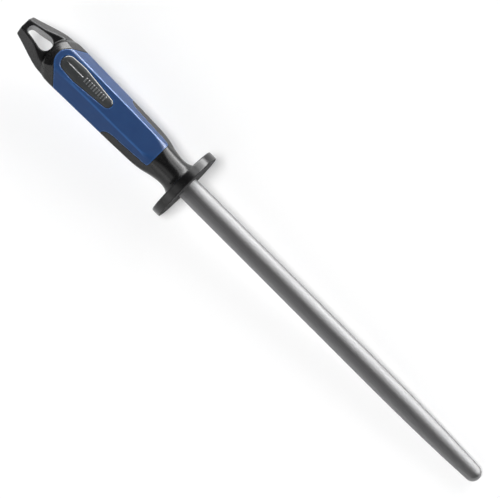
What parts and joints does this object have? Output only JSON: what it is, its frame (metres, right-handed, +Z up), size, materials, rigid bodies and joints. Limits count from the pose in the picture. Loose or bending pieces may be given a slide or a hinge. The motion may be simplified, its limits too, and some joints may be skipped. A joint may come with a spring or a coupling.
{
  "type": "knife sharpening steel",
  "caption": "Round tapered sharpening steel with a disc guard and a hexagonal two-colour handle that has a teardrop hang hole.",
  "frame": {"origin": "middle of the bounding box, on the table that the guard's rim and the rod's tip rest on", "axes": "+X from the handle's butt end towards the rod's tip, dipping 4.5 degrees to the table; +Z up, out of the handle's front face; +Y across the handle"},
  "size_m": [0.4678, 0.0594, 0.0596],
  "materials": {
    "rod_steel": "fine lengthwise cut, satin",
    "guard_plastic": "satin moulded black",
    "core_plastic": "satin moulded black",
    "grip_soft": "matt soft-touch blue",
    "badge_plastic": "satin dark grey, plain raised ribs"
  },
  "bodies": {
    "root": {"sharpening_rod": "rod_steel", "guard": "guard_plastic", "handle_core": "core_plastic", "soft_grip": "grip_soft", "front_badge": "badge_plastic"}
  },
  "joints": []
}
